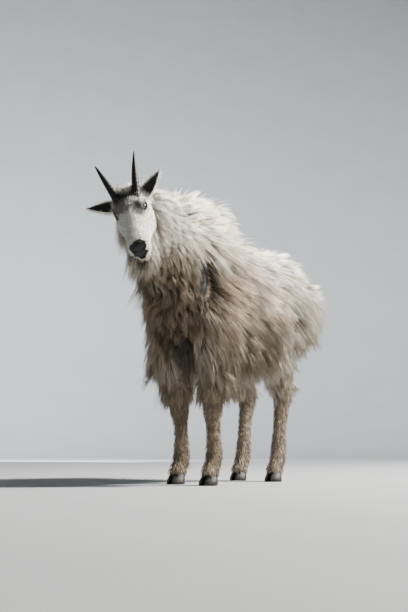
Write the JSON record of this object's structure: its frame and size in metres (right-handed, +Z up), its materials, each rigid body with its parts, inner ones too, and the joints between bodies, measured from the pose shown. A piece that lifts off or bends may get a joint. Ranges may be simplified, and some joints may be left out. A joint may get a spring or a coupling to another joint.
{
  "type": "mountain goat model",
  "caption": "Life-size still model of a mountain goat standing on level ground, head turned and tilted to its left, in a long shedding winter coat with a beard, chaps and short curved horns.",
  "frame": {"origin": "centre of the bounding box at floor level, under the body", "axes": "the goat faces -Y, its left side is +X, up is +Z"},
  "size_m": [0.5192, 1.4964, 1.1879],
  "materials": {
    "coat": "cream-white winter hair with dirt and shed patches",
    "short_coat": "short white hair",
    "horn": "black keratin horn",
    "hoof": "black keratin hoof",
    "nose": "moist black bare skin",
    "eye": "wet dark brown eye"
  },
  "bodies": {
    "root": {"ear_left": "short_coat", "ear_right": "short_coat", "eye_left": "eye", "eye_right": "eye", "foreleg_left": "coat", "foreleg_left_cannon": "short_coat", "foreleg_left_dewclaw_inner": "hoof", "foreleg_left_dewclaw_outer": "hoof", "foreleg_left_hoof_inner": "hoof", "foreleg_left_hoof_outer": "hoof", "foreleg_left_pastern": "short_coat", "foreleg_right": "coat", "foreleg_right_cannon": "short_coat", "foreleg_right_dewclaw_inner": "hoof", "foreleg_right_dewclaw_outer": "hoof", "foreleg_right_hoof_inner": "hoof", "foreleg_right_hoof_outer": "hoof", "foreleg_right_pastern": "short_coat", "head": "short_coat", "hindleg_left": "coat", "hindleg_left_cannon": "short_coat", "hindleg_left_dewclaw_inner": "hoof", "hindleg_left_dewclaw_outer": "hoof", "hindleg_left_hoof_inner": "hoof", "hindleg_left_hoof_outer": "hoof", "hindleg_left_pastern": "short_coat", "hindleg_right": "coat", "hindleg_right_cannon": "short_coat", "hindleg_right_dewclaw_inner": "hoof", "hindleg_right_dewclaw_outer": "hoof", "hindleg_right_hoof_inner": "hoof", "hindleg_right_hoof_outer": "hoof", "hindleg_right_pastern": "short_coat", "horn_left": "horn", "horn_right": "horn", "lower_jaw": "coat", "neck": "coat", "nose": "nose", "tail": "coat", "torso": "coat"}
  },
  "joints": []
}
